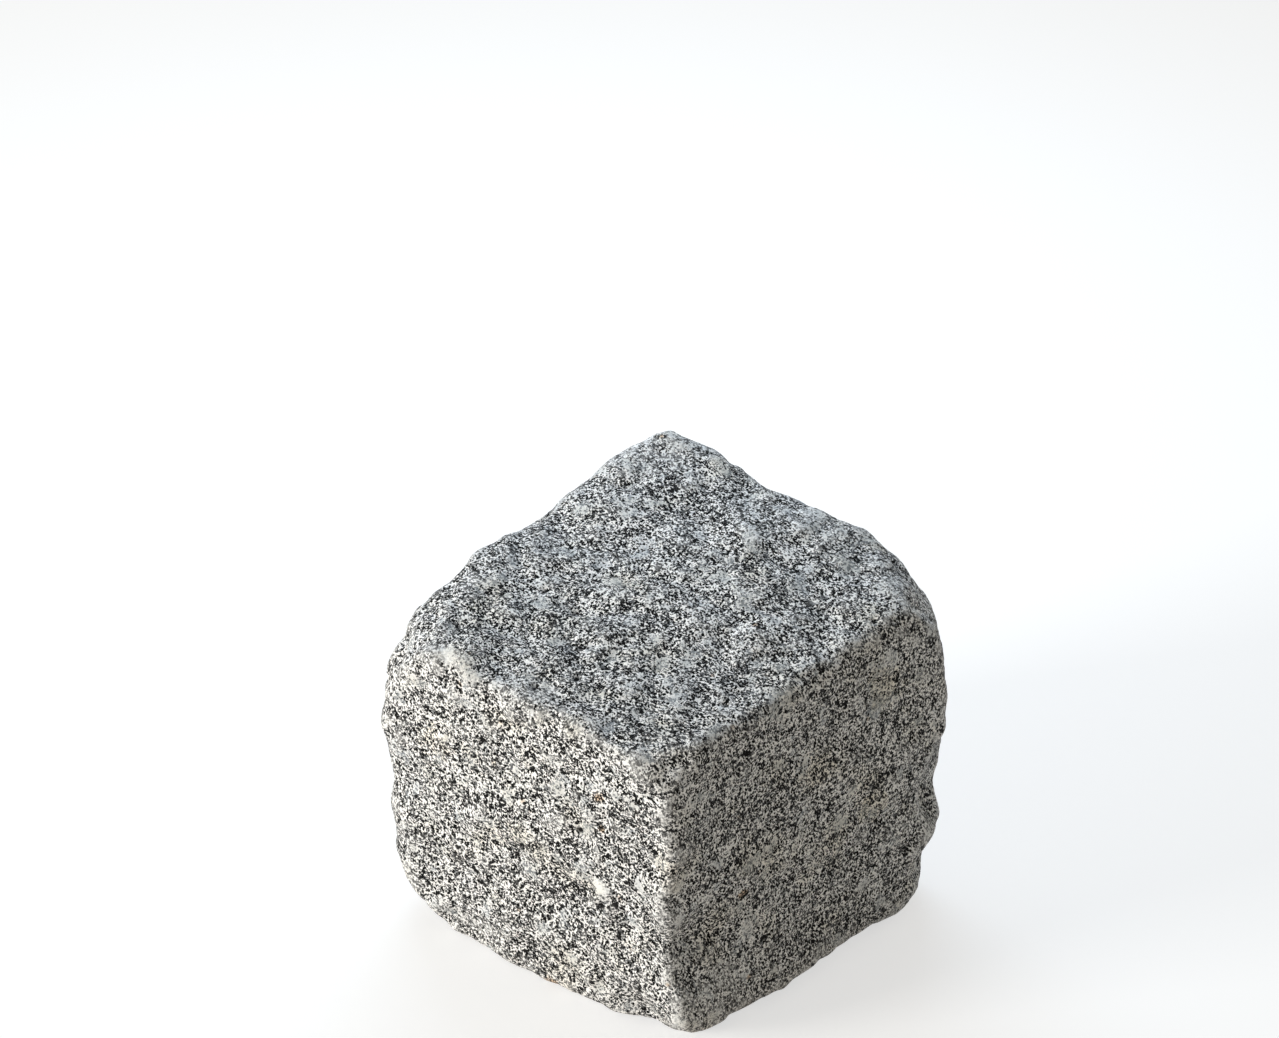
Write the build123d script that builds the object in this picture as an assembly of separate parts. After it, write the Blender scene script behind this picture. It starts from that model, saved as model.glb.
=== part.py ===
from build123d import *
import os
from math import cos, radians, sin, tan

# Granite cobblestone: one hand-dressed and tumbled block, close to a 100 mm cube.
# Millimetres. +Z is up, -Y is the front face and +X is the right face.
# The origin is on the base, under the middle of the block's outline.

# Overall size, face to face through the middle of the block
width = 88.5
depth = 88.5
height = 87.5

# Rounding that tumbling left on every edge
edge_round = 3.5

# Where each side face points in plan, in degrees from +X, and how far it tips up from upright
front_bearing = -85.0
front_tip = 0.0
right_bearing = -9.0
right_tip = 3.0
back_bearing = 93.0
back_tip = -4.0
left_bearing = 177.0
left_tip = -1.0

# The top climbs to the back and drops a little to the right, in degrees
top_climb_to_back = 7.0
top_drop_to_right = 3.0

# Plan directions of the four upright edges, in degrees from +X
left_edge_bearing = -135.0
front_edge_bearing = -45.0
right_edge_bearing = 45.0
back_edge_bearing = 135.0

# How far each kind of worn facet tips up from upright, in degrees
crown_tip = 58.0
shoulder_tip = 38.0
rim_tip = 45.0
upper_tip = 18.0
lower_tip = -24.0
foot_tip = -42.0

# Depth worn off at the left corner and edge, measured straight in from the sharp point
left_crown_wear = 9.0
left_shoulder_wear = 11.5
left_upper_wear = 8.5
left_edge_wear = 4.0
left_foot_wear = 12.0

# Depth worn off at the right corner and edge
right_crown_wear = 11.0
right_shoulder_wear = 14.5
right_upper_wear = 12.0
right_edge_wear = 6.0
right_lower_wear = 11.0
right_foot_wear = 11.5

# Depth worn off at the back corner and edge
back_crown_wear = 3.5
back_upper_wear = 6.0

# Depth worn off at the front corner
front_shoulder_wear = 5.0
front_foot_wear = 5.5

# Depth worn off along the rims of the top and the base
right_rim_wear = 3.5
back_rim_wear = 5.0
left_rim_wear = 7.0
right_base_wear = 3.0

# Plan direction of the chips broken out of the right upright edge, where it meets the right face
chip_bearing = 36.0

# A long shallow chip halfway up
upper_chip_radius = 23.0
upper_chip_bite = 3.3
upper_chip_height = 36.0

# A short deep chip just above the foot
lower_chip_radius = 11.0
lower_chip_bite = 5.0
lower_chip_height = 15.0


def facing(bearing, tip):
    """Unit direction along a bearing in plan, tipped up by an angle."""
    level = cos(radians(tip))
    return Vector(level * cos(radians(bearing)), level * sin(radians(bearing)), sin(radians(tip)))


def cut_block(faces, inset):
    """Flat-based block left inside a set of (point, direction) faces, each moved in by the inset."""
    blank = 4 * max(width, depth, height)
    block = Pos(0, 0, inset + blank / 2) * Box(blank, blank, blank)
    for point, direction in faces:
        plane = Plane(origin=point - direction * inset, z_dir=direction)
        block = split(block, bisect_by=plane, keep=Keep.BOTTOM)
    return block


def reach(block, direction):
    """Distance from the origin to the block's furthest corner along a direction."""
    return max(direction.dot(Vector(corner.X, corner.Y, corner.Z)) for corner in block.vertices())


def worn_facet(bearing, tip, wear):
    """Facet that takes the given depth off the sharp block's furthest corner along a direction."""
    direction = facing(bearing, tip)
    return direction * (reach(sharp_block, direction) - wear), direction


def chip(radius, bite, height_above_base):
    """Ball that reaches into the worn right upright edge by the bite."""
    direction = facing(chip_bearing, 0)
    edge_reach = reach(sharp_block, direction) - right_edge_wear
    centre = direction * (edge_reach - bite + radius) + Vector(0, 0, height_above_base)
    return Pos(centre) * Sphere(radius)


# The dressed faces: a top that is not quite level and four sides that are not quite square
middle = height / 2
top_direction = Vector(tan(radians(top_drop_to_right)), -tan(radians(top_climb_to_back)), 1).normalized()
dressed_faces = [
    (Vector(0, 0, height), top_direction),
    (Vector(0, -depth / 2, middle), facing(front_bearing, front_tip)),
    (Vector(width / 2, 0, middle), facing(right_bearing, right_tip)),
    (Vector(0, depth / 2, middle), facing(back_bearing, back_tip)),
    (Vector(-width / 2, 0, middle), facing(left_bearing, left_tip)),
]
sharp_block = cut_block(dressed_faces, 0)

# The facets that wear cut across its corners, upright edges and rims
worn_facets = [
    worn_facet(left_edge_bearing, crown_tip, left_crown_wear),
    worn_facet(left_edge_bearing, shoulder_tip, left_shoulder_wear),
    worn_facet(left_edge_bearing, upper_tip, left_upper_wear),
    worn_facet(left_edge_bearing, 0, left_edge_wear),
    worn_facet(left_edge_bearing, foot_tip, left_foot_wear),
    worn_facet(right_edge_bearing, crown_tip, right_crown_wear),
    worn_facet(right_edge_bearing, shoulder_tip, right_shoulder_wear),
    worn_facet(right_edge_bearing, upper_tip, right_upper_wear),
    worn_facet(right_edge_bearing, 0, right_edge_wear),
    worn_facet(right_edge_bearing, lower_tip, right_lower_wear),
    worn_facet(right_edge_bearing, foot_tip, right_foot_wear),
    worn_facet(back_edge_bearing, crown_tip, back_crown_wear),
    worn_facet(back_edge_bearing, upper_tip, back_upper_wear),
    worn_facet(front_edge_bearing, shoulder_tip, front_shoulder_wear),
    worn_facet(front_edge_bearing, foot_tip, front_foot_wear),
    worn_facet(right_bearing, rim_tip, right_rim_wear),
    worn_facet(back_bearing, rim_tip, back_rim_wear),
    worn_facet(left_bearing, rim_tip, left_rim_wear),
    worn_facet(right_bearing, -rim_tip, right_base_wear),
]

# Rounded stone: the worn block without its outer layer, grown back with round edges
core = cut_block(dressed_faces + worn_facets, edge_round)
stone = offset(core, amount=edge_round, kind=Kind.ARC)

# Each chip is a ball-shaped bite with its centre outside the worn right edge
stone = stone - chip(upper_chip_radius, upper_chip_bite, upper_chip_height)
stone = stone - chip(lower_chip_radius, lower_chip_bite, lower_chip_height)

# Put the origin under the middle of the outline
outline = stone.bounding_box()
stone = Pos(-outline.center().X, -outline.center().Y, -outline.min.Z) * stone

cobblestone = stone.solid()
cobblestone.label = "cobblestone"

os.makedirs("parts", exist_ok=True)
export_step(cobblestone, "parts/cobblestone.step")
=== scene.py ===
from itertools import product
from math import cos, radians, sin

import bpy
import numpy as np
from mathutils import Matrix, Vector, noise
from mathutils.bvhtree import BVHTree


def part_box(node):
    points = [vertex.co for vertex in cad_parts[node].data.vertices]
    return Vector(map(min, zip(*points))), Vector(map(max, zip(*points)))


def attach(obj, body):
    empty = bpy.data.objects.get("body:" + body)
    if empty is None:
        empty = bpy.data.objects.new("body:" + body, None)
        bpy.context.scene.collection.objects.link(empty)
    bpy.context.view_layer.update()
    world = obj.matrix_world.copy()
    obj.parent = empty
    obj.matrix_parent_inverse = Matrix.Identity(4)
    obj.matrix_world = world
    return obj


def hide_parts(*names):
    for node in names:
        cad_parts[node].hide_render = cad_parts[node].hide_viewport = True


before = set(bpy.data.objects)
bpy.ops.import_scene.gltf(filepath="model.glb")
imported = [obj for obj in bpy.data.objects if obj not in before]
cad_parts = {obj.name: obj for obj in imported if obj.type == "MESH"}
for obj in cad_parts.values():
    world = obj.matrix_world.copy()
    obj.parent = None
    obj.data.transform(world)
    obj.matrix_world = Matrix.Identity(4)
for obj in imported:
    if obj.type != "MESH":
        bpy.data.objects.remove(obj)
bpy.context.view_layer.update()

# Granite cobblestone. Lengths are metres; MM turns millimetres into metres.
MM = 0.001


def grey(level, warmth=0.0):
    """A grey, made warmer or cooler by a small amount."""
    return (level * (1 + warmth), level, level * (1 - warmth))


# Camera: a long lens that looks down on the stone's front upright edge
CAMERA_AZIMUTH = radians(41.0)
CAMERA_ELEVATION = radians(37.0)
CAMERA_DISTANCE = 1300 * MM
CAMERA_AIM = Vector((-101.85 * MM, 105.6 * MM, 0))
CAMERA_NEAREST = 0.05
SENSOR_WIDTH = 36.0
LENS = 140.7

# Lamps: where each stands round the stone, how wide it is, its watts and its colour
KEY_LAMP = {
    "bearing": radians(-120), "height_angle": radians(11), "distance": 1.4,
    "size": 0.4, "power": 20.4, "colour": (1.0, 0.98, 0.93),
}
TOP_LAMP = {
    "bearing": radians(138), "height_angle": radians(50), "distance": 0.38,
    "size": 0.3, "power": 0.98, "colour": (0.68, 0.83, 1.0),
}
LAMP_AIM = Vector((0, 0, 47 * MM))
WORLD_COLOUR = (1.0, 0.96, 0.86, 1)
WORLD_STRENGTH = 0.32

# Floor: half its width, the colour that lights the stone, and the grey and glow that are seen as white
FLOOR_REACH = 6.0
FLOOR_COLOUR = grey(0.9, 0.06)
FLOOR_SEEN = grey(0.5)
FLOOR_GLOW = 0.6

# Stone surface: square cells along each side of the six-sided grid
CELLS = 128
# A cell's corners in the order that makes its face look outwards, on a far side and on a near side
FAR_TURN = ((0, 0), (1, 0), (1, 1), (0, 1))
NEAR_TURN = ((0, 0), (0, 1), (1, 1), (1, 0))
# Passes of averaging that round off the borders between worn facets
SOFTENING = 6
# An edge or lump stands out from the averaged surface: (passes of averaging, height for 0, height for 1)
EDGE_SEEN = (60, 0.15 * MM, 0.75 * MM)
WEAR_SEEN = (25, 0.05 * MM, 0.40 * MM)

# Relief left by splitting and tumbling: (length across a bump, height), coarse to fine
RELIEF = (
    (30 * MM, 0.8 * MM),
    (14 * MM, 0.5 * MM),
    (7 * MM, 0.35 * MM),
    (3.6 * MM, 0.26 * MM),
    (1.9 * MM, 0.15 * MM),
)
# Rounded lumps with creases between them: (length across a lump, height)
LUMPS = (
    (12 * MM, 0.85 * MM),
    (6 * MM, 0.28 * MM),
)
# Each size of bump reads the noise one step further on, and the lumps start this many steps along
RELIEF_STEP = Vector((7.3, 1.9, 4.1))
FIRST_LUMP_STEP = 9
# Bites that tumbling took out of the edges: (length across a bite, depth)
EDGE_CHIPS = (
    (9 * MM, 0.6 * MM),
    (4.2 * MM, 0.25 * MM),
)
CHIP_STEP = Vector((31, 5, 17))
# Noise levels where a bite starts and where it is full
CHIP_RANGE = (-0.1, 0.6)

# Swellings of this stone, and dents below zero: (place on the surface, reach, height) in millimetres
SHAPING = (
    # Middle of the top
    ((12, 12, 88), 26, 1.6),
    # Rim of the top, from its left corner round the back to its right corner
    ((-45, -23, 86), 8, -1.6),
    ((-41, 3, 90), 10, -2.2),
    ((-36, 31, 93), 10, 2.3),
    ((-23, 42, 92), 8, 2.4),
    ((-9, 41, 94), 7, -1.2),
    ((3, 42, 93), 6, -2.3),
    ((22, 43, 92), 9, -1.8),
    # Right upright edge, downwards
    ((46, 42, 54), 7, 0.9),
    ((43, 44, 38), 5, 1.5),
    ((48, 39, 31), 6, -3.5),
    ((49, 36, 21), 6, 2.7),
    ((48, 33, 12), 5, -1.0),
    # Rim of the base, from the right corner to the left one
    ((47, 18, 4), 9, -0.9),
    ((42, -15, 4), 9, 1.4),
    ((39, -28, 3), 8, 1.0),
    ((25, -42, 4), 6, -4.0),
    ((-24, -47, 6), 7, -2.0),
    ((-37, -47, 10), 7, 0.6),
    # Left upright edge, upwards
    ((-44, -46, 22), 8, -0.9),
    ((-43, -48, 40), 7, -1.2),
    ((-46, -47, 58), 9, 0.9),
    ((-44, -47, 70), 7, -0.6),
    # Front upright edge, upwards
    ((36, -42, 2), 6, -1.3),
    ((41, -37, 9), 7, 1.6),
    ((39, -37, 30), 8, -3.2),
    ((38, -37, 50), 5, -1.2),
    ((39, -38, 62), 7, 2.2),
)
# Crest along the front upright edge: places upwards in millimetres, then its reach and height
CREST = (
    (39, -39, 6), (37, -40.5, 15), (32, -43.2, 28), (33.5, -42.5, 42),
    (35, -41, 53), (39, -38, 62), (37, -39, 70), (34.5, -41, 78),
)
CREST_REACH = 3.2 * MM
CREST_HEIGHT = 0.8 * MM

# Pits where a grain fell out: places on the surface in millimetres, then how wide and deep they are
PITS = ((-1, -32, 84), (10, -44, 52), (16, -43, 33), (-6, -45, 41), (41, -16, 20), (-17, -44, 66))
PIT_REACH = 1.0 * MM
PIT_DEPTH = 1.1 * MM
# Smaller pits scattered all over, as shares of a pit's size
SCATTERED_PITS = 70
SCATTER_SEED = 11
SCATTERED_SIZES = (0.5, 0.9)

# The base stays flat: relief fades in up to this height, and the base itself has only a share of its dents
BASE_FADE = 3 * MM
BASE_DENT_SHARE = 0.625

# Texture map: sides of the grid in a row and in a column, and the bare border round each
MAP_COLUMNS = 3
MAP_ROWS = 2
MAP_BORDER = 0.006

# Marks in the colour: (place on the surface, reach) in millimetres
FELDSPAR_PATCHES = (
    ((-29, -44, 83), 2.8),
    ((16, -43, 39), 2.6),
    ((-3, -44, 80), 1.8),
)
# Painted light: places lightened where more light falls, at the back corner of the top, on the left ridge,
# and on the foot lit from the floor
PAINTED_LIGHT_PLACES = (
    ((-36, 34, 93), 12.0),
    ((41, -30, 11), 10.0),
    ((-6, -43, 82), 7.0),
    ((-20, -46, 5), 7.0),
)
TAN_STAINS = (
    ((41, 1, 59), 6.0),
    ((44, 22, 72), 7.0),
    ((-30, -46, 60), 6.0),
    ((45, 18, 40), 5.0),
)
RUST_SPOTS = (
    ((1, -43, 2), 2.0),
    ((15, -43, 65), 1.6),
    ((16, -43, 56), 1.2),
    ((39, -21, 36), 1.5),
)

# Granite. Its cells and waves are so many to the millimetre.
# Borders between grains wander this many millimetres
BORDER_WAVES = 2.6
BORDER_WANDER = 0.4
# What shifts a grain's grey: the large and small grain it is in, and the pale or dark place it lies in
LARGE_GRAINS = 1.4
LARGE_SHIFT = 0.8
SMALL_GRAINS = 2.5
SMALL_SHIFT = 1.6
NEAR_WAVES = 0.4
NEAR_SHIFT = 0.8
FAR_WAVES = 0.13
FAR_SHIFT = 0.95
# Pale minerals from dark quartz to white feldspar: (place on the ramp, colour)
MINERAL_COLOURS = (
    (0.00, grey(0.12, -0.03)),
    (0.12, grey(0.34, -0.03)),
    (0.26, grey(0.64, -0.01)),
    (0.40, grey(0.88, 0.01)),
    (0.52, grey(0.97, 0.01)),
    (1.00, grey(0.97, 0.01)),
)
# Clear bluish quartz lies where its noise passes a level, and shows through the grains by a share
QUARTZ_WAVES = 0.17
QUARTZ_LEVEL = 0.55
QUARTZ_STEEPNESS = 9.0
QUARTZ_SHARE = 0.5
QUARTZ_COLOUR = grey(0.44, -0.09)
# Black mica flecks, coarse to fine: (cells to the millimetre, share of the cells that hold a fleck)
MICA_FLECKS = (
    (1.05, 0.25),
    (1.6, 0.48),
    (2.4, 0.56),
)
MICA_STRETCH = (1.0, 1.25, 0.85)
MICA_SIZE = 1.9
MICA_STEEPNESS = 22.0
MICA_COLOUR = grey(0.006)
# Mica gathers in places and keeps out of the quartz
GATHER_WAVES = 0.33
GATHER_SHIFT = 0.45
QUARTZ_KEEPS_OUT = 0.25
# A mark's ragged border
RAGGED_WAVES = 0.5
RAGGED_SHIFT = 2.5
MARK_STEEPNESS = 2.0
# White feldspar covers the grain by this share
FELDSPAR_SHARE = 0.8
FELDSPAR_COLOUR = grey(0.97, -0.01)
# Worn edges and painted light: how strongly a marked place is lightened as painted light, how broken up
# the white is, and its share of the colour and the mica
PAINTED_LIGHT_LEVEL = 0.7
BROKEN_UP_LEVEL = -0.35
BROKEN_UP_STEEPNESS = 1.4
WEAR_AND_LIGHT_SHARE = 0.9
MICA_UNDER_WEAR_AND_LIGHT = 0.6
WEAR_AND_LIGHT_COLOUR = grey(0.85)
# Tan stains lie where their noise passes a level, as well as in the marked places
TAN_WAVES = 0.085
TAN_LEVEL = 0.52
TAN_STEEPNESS = 6.0
TAN_SHARE = 0.4
TAN_COLOUR = (1.0, 0.92, 0.76)
# Rust spots: their cells, the share of the cells that hold one, and how crisp they are
RUST_CELLS = 0.24
RUST_SHARE = 0.24
RUST_STEEPNESS = 5.0
RUST_COLOUR = (0.80, 0.63, 0.48)
# Pits are painted dark from this far in: partly the dark of plucked mica, partly painted shade in the
# hollow
PIT_LEVEL = 0.3
PIT_STEEPNESS = 2.5
PIT_SHADE_COLOUR = grey(0.01)
# Grain-sized bumps: their depth, the fine noise, and the part that a grain and a mica flake have in it
BUMP_DEPTH = 0.35 * MM
BUMP_WAVES = 1.8
GRAIN_HEIGHT = 0.5
MICA_HEIGHT = 0.4
# Each grain draws its own roughness: the lowest, and how much more it may be
ROUGHNESS = 0.5
ROUGHNESS_SPREAD = 0.35
SPECULAR = 0.1


def smooth_step(low, high, value):
    """0 below low, 1 above high, and a smooth ramp between them."""
    t = np.clip((value - low) / (high - low), 0, 1)
    return t * t * (3 - 2 * t)


def surface_grid():
    """Corner points of a cube divided into cells, its square faces, and each face's side and cell."""
    points, index = [], {}
    quads, places = [], []

    def corner(spot):
        if spot not in index:
            index[spot] = len(points)
            points.append(spot)
        return index[spot]

    for axis, end, row, column in product(range(3), (0, CELLS), range(CELLS), range(CELLS)):
        across, along = (axis + 1) % 3, (axis + 2) % 3
        turn = FAR_TURN if end else NEAR_TURN
        quad = []
        for right, up in turn:
            spot = [0, 0, 0]
            spot[axis], spot[across], spot[along] = end, row + right, column + up
            quad.append(corner(tuple(spot)))
        quads.append(quad)
        side = axis * 2 + (end > 0)
        places.append((side, row, column, turn))
    return np.array(points) / CELLS * 2 - 1, quads, places


def wrap_on(node, directions):
    """Points where rays from the middle of a node meet its surface."""
    low, high = (np.array(corner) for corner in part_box(node.name))
    middle, half = (low + high) / 2, (high - low) / 2
    tree = BVHTree.FromPolygons(
        [v.co for v in node.data.vertices], [p.vertices for p in node.data.polygons])
    start = Vector(middle)
    hits = [tree.ray_cast(start, Vector(d * half))[0] for d in directions]
    return np.array(hits)


def soften(surface, quads, passes):
    """Move each point towards the middle of its neighbours, several times over."""
    quads = np.array(quads)
    starts = np.concatenate([quads[:, side] for side in range(4)])
    ends = np.concatenate([quads[:, (side + 1) % 4] for side in range(4)])
    size = len(surface)
    count = np.bincount(starts, minlength=size)[:, None]
    for _ in range(passes):
        total = np.stack([np.bincount(starts, surface[ends, axis], size) for axis in range(3)], axis=1)
        surface = (surface + total / count) / 2
    return surface


def standing_out(surface, normals, quads, seen):
    """0 to 1 at each point: how far it stands out from the surface averaged round it."""
    passes, low, high = seen
    around = soften(surface, quads, passes)
    return smooth_step(low, high, ((surface - around) * normals).sum(axis=1))


def noise_at(surface, length, shift):
    """Smooth noise from about -1 to 1 at each point of a surface."""
    return np.array([noise.noise(Vector(p) / length + shift) for p in surface])


def lumps_at(surface, length, shift):
    """Rounded lumps at each point, from -0.5 in the creases between them to about 1.5."""
    return np.abs(noise_at(surface, length, shift)) * 2 - 0.5


def relief_of(surface):
    """Height of the rough surface at each point, summed over the sizes of bumps and lumps."""
    smooth = sum(amount * noise_at(surface, length, RELIEF_STEP * step)
                 for step, (length, amount) in enumerate(RELIEF, 1))
    lumps = sum(amount * lumps_at(surface, length, RELIEF_STEP * step)
                for step, (length, amount) in enumerate(LUMPS, FIRST_LUMP_STEP))
    return smooth + lumps


def bites_of(surface):
    """Depth of the bites that an edge would have at each point."""
    return sum(depth * smooth_step(*CHIP_RANGE, noise_at(surface, length, CHIP_STEP * step))
               for step, (length, depth) in enumerate(EDGE_CHIPS, 1))


def bell(distance, reach):
    """1 at no distance, falling smoothly to near 0 at about twice the reach."""
    return np.exp(-(distance / reach) ** 2)


def away_from(surface, low, high):
    """Distance of each point from a line between two places in millimetres."""
    start, along = np.array(low) * MM, (np.array(high) - np.array(low)) * MM
    share = np.clip((surface - start) @ along / (along @ along), 0, 1)
    return np.linalg.norm(surface - start - share[:, None] * along, axis=1)


def shaping_of(surface):
    """Height of this stone's own swellings, dents and crest at each point."""
    height = np.zeros(len(surface))
    for place, reach, push in SHAPING:
        distance = np.linalg.norm(surface - np.array(place) * MM, axis=1)
        height += push * MM * bell(distance, reach * MM)
    crest = np.min([away_from(surface, low, high) for low, high in zip(CREST, CREST[1:])], axis=0)
    return height + CREST_HEIGHT * bell(crest, CREST_REACH)


def pits_of(surface):
    """1 in the middle of each pit, less in a small one, and 0 away from them, at each point."""
    scatter = np.random.default_rng(SCATTER_SEED)
    chosen = surface[scatter.integers(len(surface), size=SCATTERED_PITS)]
    middles = np.concatenate([np.array(PITS) * MM, chosen])
    sizes = np.concatenate([np.ones(len(PITS)), scatter.uniform(*SCATTERED_SIZES, SCATTERED_PITS)])
    pit = np.zeros(len(surface))
    for middle, size in zip(middles, sizes):
        nearest = surface[np.argmin(np.linalg.norm(surface - middle, axis=1))]
        distance = np.linalg.norm(surface - nearest, axis=1)
        pit = np.maximum(pit, size * bell(distance, PIT_REACH * size))
    return pit


def normals_of(mesh):
    """Direction in which each point of a mesh faces."""
    normals = np.zeros(len(mesh.vertices) * 3)
    mesh.vertex_normals.foreach_get("vector", normals)
    return normals.reshape(-1, 3)


def move_points(mesh, surface):
    """Put a mesh's points in new places, none of them under the floor."""
    surface[:, 2] = np.maximum(surface[:, 2], 0)
    mesh.vertices.foreach_set("co", surface.ravel())
    mesh.update()


def make_stone(node):
    """The stone's rough surface: a fine grid wrapped on the CAD block and pushed in and out."""
    directions, quads, places = surface_grid()
    surface = soften(wrap_on(node, directions), quads, SOFTENING)
    mesh = bpy.data.meshes.new("granite_block")
    mesh.from_pydata(surface.tolist(), [], quads)
    mesh.update()

    # This stone's own shape first, then its relief
    surface = surface + normals_of(mesh) * shaping_of(surface)[:, None]
    move_points(mesh, surface)
    normals = normals_of(mesh)
    edge = standing_out(surface, normals, quads, EDGE_SEEN)
    pit = pits_of(surface)
    height = relief_of(surface) - edge * bites_of(surface) - pit * PIT_DEPTH

    # The base only dents inwards, so the stone stands level on it
    lift = smooth_step(0, BASE_FADE, surface[:, 2])
    dented = np.minimum(height, 0) * BASE_DENT_SHARE
    surface = surface + normals * (height * lift + dented * (1 - lift))[:, None]
    mesh.shade_smooth()
    move_points(mesh, surface)

    worn = standing_out(surface, normals_of(mesh), quads, WEAR_SEEN)
    for name, values in (("edge_wear", worn), ("pit", pit)):
        mesh.attributes.new(name, "FLOAT", "POINT").data.foreach_set("value", values)
    lay_out_map(mesh, places)
    stone = bpy.data.objects.new("cobblestone_rough", mesh)
    bpy.context.scene.collection.objects.link(stone)
    return stone


def lay_out_map(mesh, places):
    """Texture map: the six sides of the grid side by side, in columns and rows."""
    layer = mesh.uv_layers.new(name="OFBake")
    width = 1 / MAP_COLUMNS - 2 * MAP_BORDER
    height = 1 / MAP_ROWS - 2 * MAP_BORDER
    spots = []
    for side, row, column, turn in places:
        left = (side % MAP_COLUMNS) / MAP_COLUMNS + MAP_BORDER
        bottom = (side // MAP_COLUMNS) / MAP_ROWS + MAP_BORDER
        for right, up in turn:
            spots.append(left + width * (row + right) / CELLS)
            spots.append(bottom + height * (column + up) / CELLS)
    layer.data.foreach_set("uv", spots)


class Nodes:
    """Short ways to add and link shader nodes in one material."""

    def __init__(self, material):
        material.use_nodes = True
        self.tree = material.node_tree
        self.tree.nodes.clear()

    def add(self, kind, inputs=None, **settings):
        """A node of a kind, with a value or a link for each named input."""
        node = self.tree.nodes.new(kind)
        for name, value in settings.items():
            setattr(node, name, value)
        for name, value in (inputs or {}).items():
            if isinstance(value, bpy.types.NodeSocket):
                self.tree.links.new(value, node.inputs[name])
            else:
                node.inputs[name].default_value = value
        return node

    def math(self, operation, a, b, clamp=False):
        """Result of an operation on two numbers, kept from 0 to 1 if it is clamped."""
        return self.add("ShaderNodeMath", {0: a, 1: b}, operation=operation, use_clamp=clamp).outputs[0]

    def vector(self, operation, a, b, output="Vector"):
        """Result of an operation on two vectors."""
        return self.add("ShaderNodeVectorMath", {0: a, 1: b}, operation=operation).outputs[output]

    def scaled(self, vector, amount):
        """A vector, made longer by an amount."""
        return self.add("ShaderNodeVectorMath", {0: vector, "Scale": amount}, operation="SCALE").outputs[0]

    def centred(self, value, amount):
        """A value from 0 to 1, moved to lie about 0 and scaled."""
        return self.math("MULTIPLY", self.math("SUBTRACT", value, 0.5), amount)

    def above(self, value, level, steepness):
        """0 while a value is under a level, then rising to 1."""
        return self.math("MULTIPLY", self.math("SUBTRACT", value, level), steepness, clamp=True)

    def lessened(self, value, where, share):
        """A value that loses a share of itself where another value is 1."""
        kept = self.math("SUBTRACT", 1.0, self.math("MULTIPLY", where, share))
        return self.math("MULTIPLY", value, kept)

    def ramp(self, value, stops):
        """Colour that a value from 0 to 1 has between the stops of a ramp."""
        node = self.add("ShaderNodeValToRGB", {"Fac": value})
        marks = node.color_ramp.elements
        while len(marks) < len(stops):
            marks.new(0.5)
        for mark, (position, colour) in zip(marks, stops):
            mark.position = position
            mark.color = (*colour, 1)
        return node.outputs["Color"]

    def mix(self, amount, a, b, blend="MIX"):
        """Colour a, with an amount of colour b blended in."""
        node = self.add("ShaderNodeMix", data_type="RGBA", blend_type=blend)
        # The node has several sockets of one name, so each is found by its identifier
        for name, value in (("Factor_Float", amount), ("A_Color", a), ("B_Color", b)):
            socket = next(s for s in node.inputs if s.identifier == name)
            if isinstance(value, bpy.types.NodeSocket):
                self.tree.links.new(value, socket)
            else:
                socket.default_value = value if name == "Factor_Float" else (*value, 1)
        return next(s for s in node.outputs if s.identifier == "Result_Color")

    def noise(self, place, waves, detail=2.0, roughness=0.5, output="Fac"):
        """Smooth noise from 0 to 1, with so many waves to the millimetre."""
        inputs = {"Vector": place, "Scale": waves, "Detail": detail, "Roughness": roughness}
        return self.add("ShaderNodeTexNoise", inputs).outputs[output]

    def rough_noise(self, place, waves):
        """Noise with more of its fine waves."""
        return self.noise(place, waves, detail=3.0, roughness=0.6)

    def cells(self, place, scale):
        """Cells round scattered points: each has a colour of its own, and a distance from its point."""
        return self.add("ShaderNodeTexVoronoi", {"Vector": place, "Scale": scale}).outputs

    def channels(self, colour):
        """The three values of a colour."""
        return self.add("ShaderNodeSeparateColor", {"Color": colour}).outputs

    def attribute(self, name):
        """A value that the mesh holds at each of its points."""
        return self.add("ShaderNodeAttribute", attribute_name=name).outputs["Fac"]


def minerals(n, place, bent, large, quartz):
    """Colour of the pale minerals: each grain draws a grey between cool quartz and warm white feldspar."""
    small = n.channels(n.cells(bent, SMALL_GRAINS)["Color"])[0]
    near = n.centred(n.noise(place, NEAR_WAVES), NEAR_SHIFT)
    far = n.centred(n.noise(place, FAR_WAVES), FAR_SHIFT)
    grains = n.math("ADD", n.math("MULTIPLY", large, LARGE_SHIFT), n.centred(small, SMALL_SHIFT))
    mineral = n.math("ADD", grains, n.math("ADD", near, far))
    colour = n.ramp(mineral, MINERAL_COLOURS)
    return n.mix(n.math("MULTIPLY", quartz, QUARTZ_SHARE), colour, QUARTZ_COLOUR)


def mica_flecks(n, place, bent, quartz):
    """1 inside black mica: crisp flecks of three sizes that gather in places and avoid clear quartz."""
    gather = n.centred(n.noise(place, GATHER_WAVES), GATHER_SHIFT)
    gather = n.math("SUBTRACT", gather, n.math("MULTIPLY", quartz, QUARTZ_KEEPS_OUT))
    stretched = n.vector("MULTIPLY", bent, MICA_STRETCH)
    mica = 0.0
    for scale, share in MICA_FLECKS:
        flecks = n.cells(stretched, scale)
        drawn = n.channels(flecks["Color"])[0]
        reach = n.math("ADD", n.math("SUBTRACT", share, drawn), gather)
        fleck = n.above(n.math("MULTIPLY", reach, MICA_SIZE), flecks["Distance"], MICA_STEEPNESS)
        mica = n.math("MAXIMUM", mica, fleck)
    return mica


def patch(n, place, ragged, middle, reach):
    """1 at a place on the stone, in millimetres, with a ragged border where it falls to 0."""
    away = n.vector("DISTANCE", place, middle, output="Value")
    inside = n.math("SUBTRACT", 1.0, n.math("DIVIDE", away, reach))
    return n.math("MULTIPLY", n.math("ADD", inside, ragged), MARK_STEEPNESS, clamp=True)


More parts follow.
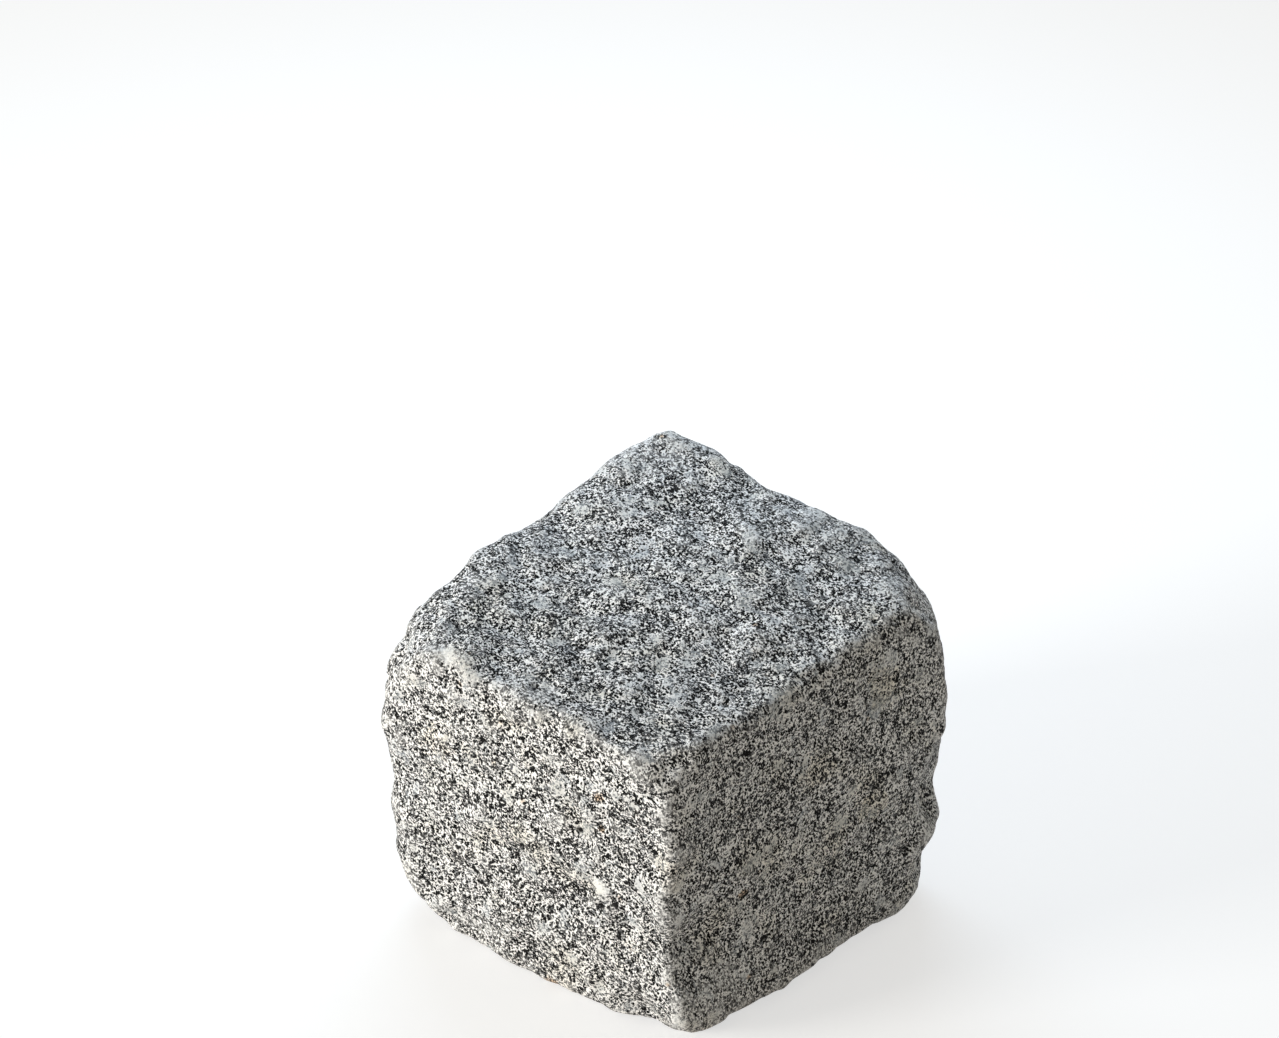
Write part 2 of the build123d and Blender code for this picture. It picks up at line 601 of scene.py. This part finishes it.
def with_feldspar(n, place, ragged, colour, mica):
    """The colour and the mica, with white feldspar patches in them."""
    for middle, reach in FELDSPAR_PATCHES:
        white = patch(n, place, ragged, middle, reach)
        colour = n.mix(n.math("MULTIPLY", white, FELDSPAR_SHARE), colour, FELDSPAR_COLOUR)
        mica = n.lessened(mica, white, FELDSPAR_SHARE)
    return colour, mica


def with_wear_and_painted_light(n, place, ragged, colour, mica):
    """The colour and the mica, with worn edges and lumps, and the painted light of the marked places,
    turned a broken white.
    """
    wear_and_light = n.attribute("edge_wear")
    # The marked places add painted light to the real wear of the edges and lumps
    for middle, reach in PAINTED_LIGHT_PLACES:
        marked = patch(n, place, ragged, middle, reach)
        wear_and_light = n.math("MAXIMUM", wear_and_light, n.math("MULTIPLY", marked, PAINTED_LIGHT_LEVEL))
    broken_up = n.above(ragged, BROKEN_UP_LEVEL, BROKEN_UP_STEEPNESS)
    whitening = n.math("MULTIPLY", n.math("MULTIPLY", wear_and_light, broken_up), WEAR_AND_LIGHT_SHARE)
    return n.mix(whitening, colour, WEAR_AND_LIGHT_COLOUR), n.lessened(mica, whitening, MICA_UNDER_WEAR_AND_LIGHT)


def with_stains(n, place, bent, ragged, colour):
    """The colour with faint tan stains, and a few rust spots round iron-bearing grains."""
    tan = n.above(n.rough_noise(place, TAN_WAVES), TAN_LEVEL, TAN_STEEPNESS)
    for middle, reach in TAN_STAINS:
        tan = n.math("ADD", tan, patch(n, place, ragged, middle, reach))
    colour = n.mix(n.math("MULTIPLY", tan, TAN_SHARE), colour, TAN_COLOUR, "MULTIPLY")

    spots = n.cells(bent, RUST_CELLS)
    rusty = n.math("SUBTRACT", RUST_SHARE, n.channels(spots["Color"])[1])
    rust = n.above(rusty, spots["Distance"], RUST_STEEPNESS)
    for middle, reach in RUST_SPOTS:
        rust = n.math("MAXIMUM", rust, patch(n, place, ragged, middle, reach))
    return n.mix(rust, colour, RUST_COLOUR, "MULTIPLY")


def grain_bump(n, place, grain_height, mica):
    """Normal of the grain-sized roughness, with the mica flakes a little sunk."""
    fine = n.rough_noise(place, BUMP_WAVES)
    raised = n.math("ADD", n.math("MULTIPLY", grain_height, GRAIN_HEIGHT), fine)
    height = n.math("SUBTRACT", raised, n.math("MULTIPLY", mica, MICA_HEIGHT))
    bump = n.add("ShaderNodeBump", {"Strength": 1.0, "Distance": BUMP_DEPTH, "Height": height})
    return bump.outputs["Normal"]


def granite():
    """Fine-grained grey granite: white feldspar, grey quartz and black mica."""
    material = bpy.data.materials.new("granite")
    n = Nodes(material)
    place = n.scaled(n.add("ShaderNodeTexCoord").outputs["Object"], 1 / MM)

    # Grain borders wander, so the cells aren't straight-sided
    middle_of_noise = (0.5, 0.5, 0.5)
    wander = n.vector("SUBTRACT", n.noise(place, BORDER_WAVES, output="Color"), middle_of_noise)
    bent = n.vector("ADD", place, n.scaled(wander, BORDER_WANDER))

    # Each large grain draws three values: its grey, its height and its shine
    grain = n.channels(n.cells(bent, LARGE_GRAINS)["Color"])
    quartz = n.above(n.rough_noise(place, QUARTZ_WAVES), QUARTZ_LEVEL, QUARTZ_STEEPNESS)
    colour = minerals(n, place, bent, grain[0], quartz)
    mica = mica_flecks(n, place, bent, quartz)

    ragged = n.centred(n.rough_noise(place, RAGGED_WAVES), RAGGED_SHIFT)
    colour, mica = with_feldspar(n, place, ragged, colour, mica)
    colour, mica = with_wear_and_painted_light(n, place, ragged, colour, mica)
    colour = n.mix(mica, colour, MICA_COLOUR)
    colour = with_stains(n, place, bent, ragged, colour)
    # Pits painted dark: painted shade in the hollow, with the dark of plucked mica
    colour = n.mix(n.above(n.attribute("pit"), PIT_LEVEL, PIT_STEEPNESS), colour, PIT_SHADE_COLOUR)

    shader = n.add("ShaderNodeBsdfPrincipled", {
        "Base Color": colour,
        "Roughness": n.math("ADD", ROUGHNESS, n.math("MULTIPLY", grain[2], ROUGHNESS_SPREAD)),
        "Normal": grain_bump(n, place, grain[1], mica),
        "Specular IOR Level": SPECULAR,
    })
    n.add("ShaderNodeOutputMaterial", {"Surface": shader.outputs[0]})
    return material


def white_paper():
    """Floor material that lights the stone as pale paper does, and reads as a white background."""
    material = bpy.data.materials.new("pale_floor")
    n = Nodes(material)
    paper = n.add("ShaderNodeBsdfDiffuse", {"Color": (*FLOOR_COLOUR, 1)}).outputs[0]
    shown = n.add("ShaderNodeBsdfDiffuse", {"Color": (*FLOOR_SEEN, 1)}).outputs[0]
    glow = n.add("ShaderNodeEmission", {"Color": (1, 1, 1, 1), "Strength": FLOOR_GLOW}).outputs[0]
    lit = n.add("ShaderNodeAddShader", {0: shown, 1: glow}).outputs[0]
    rays = n.add("ShaderNodeLightPath").outputs
    mirrored = n.math("MAXIMUM", rays["Is Glossy Ray"], rays["Is Transmission Ray"])
    direct = n.math("MAXIMUM", rays["Is Camera Ray"], mirrored)
    seen = n.add("ShaderNodeMixShader", {0: direct, 1: paper, 2: lit}).outputs[0]
    n.add("ShaderNodeOutputMaterial", {"Surface": seen})
    return material


def pale_floor():
    """White floor that keeps the stone's shadow."""
    reach = FLOOR_REACH
    corners = [(-reach, -reach, 0), (reach, -reach, 0), (reach, reach, 0), (-reach, reach, 0)]
    mesh = bpy.data.meshes.new("floor")
    mesh.from_pydata(corners, [], [(0, 1, 2, 3)])
    mesh.materials.append(white_paper())
    floor = bpy.data.objects.new("floor", mesh)
    bpy.context.scene.collection.objects.link(floor)


def soft_light(name, bearing, height_angle, distance, size, power, colour):
    """Square lamp that faces the stone from a bearing in plan and an angle above the floor."""
    lamp = bpy.data.lights.new(name, "AREA")
    lamp.size = size
    lamp.energy = power
    lamp.color = colour
    stand = bpy.data.objects.new(name, lamp)
    level = cos(height_angle)
    direction = Vector((level * cos(bearing), level * sin(bearing), sin(height_angle)))
    stand.location = direction * distance + LAMP_AIM
    stand.rotation_euler = direction.to_track_quat("Z", "Y").to_euler()
    bpy.context.scene.collection.objects.link(stand)


def light_scene():
    """Warm key low on the front face, a cool light above the top, and a warm fill all round."""
    soft_light("key", **KEY_LAMP)
    soft_light("above", **TOP_LAMP)
    world = bpy.data.worlds.new("studio")
    world.use_nodes = True
    back = world.node_tree.nodes["Background"]
    back.inputs["Color"].default_value = WORLD_COLOUR
    back.inputs["Strength"].default_value = WORLD_STRENGTH
    bpy.context.scene.world = world


def place_camera():
    """Camera on the line from the aim point, with a long lens and no shift."""
    level = cos(CAMERA_ELEVATION)
    back = Vector((level * sin(CAMERA_AZIMUTH), -level * cos(CAMERA_AZIMUTH), sin(CAMERA_ELEVATION)))
    data = bpy.data.cameras.new("camera")
    data.sensor_width = SENSOR_WIDTH
    data.lens = LENS
    data.clip_start = CAMERA_NEAREST
    camera = bpy.data.objects.new("camera", data)
    camera.location = CAMERA_AIM + back * CAMERA_DISTANCE
    camera.rotation_euler = back.to_track_quat("Z", "Y").to_euler()
    bpy.context.scene.collection.objects.link(camera)
    bpy.context.scene.camera = camera


stone = make_stone(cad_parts["cobblestone"])
stone.data.materials.append(granite())
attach(stone, "root")
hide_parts("cobblestone")

pale_floor()
light_scene()
place_camera()
bpy.context.scene.view_settings.view_transform = "Standard"
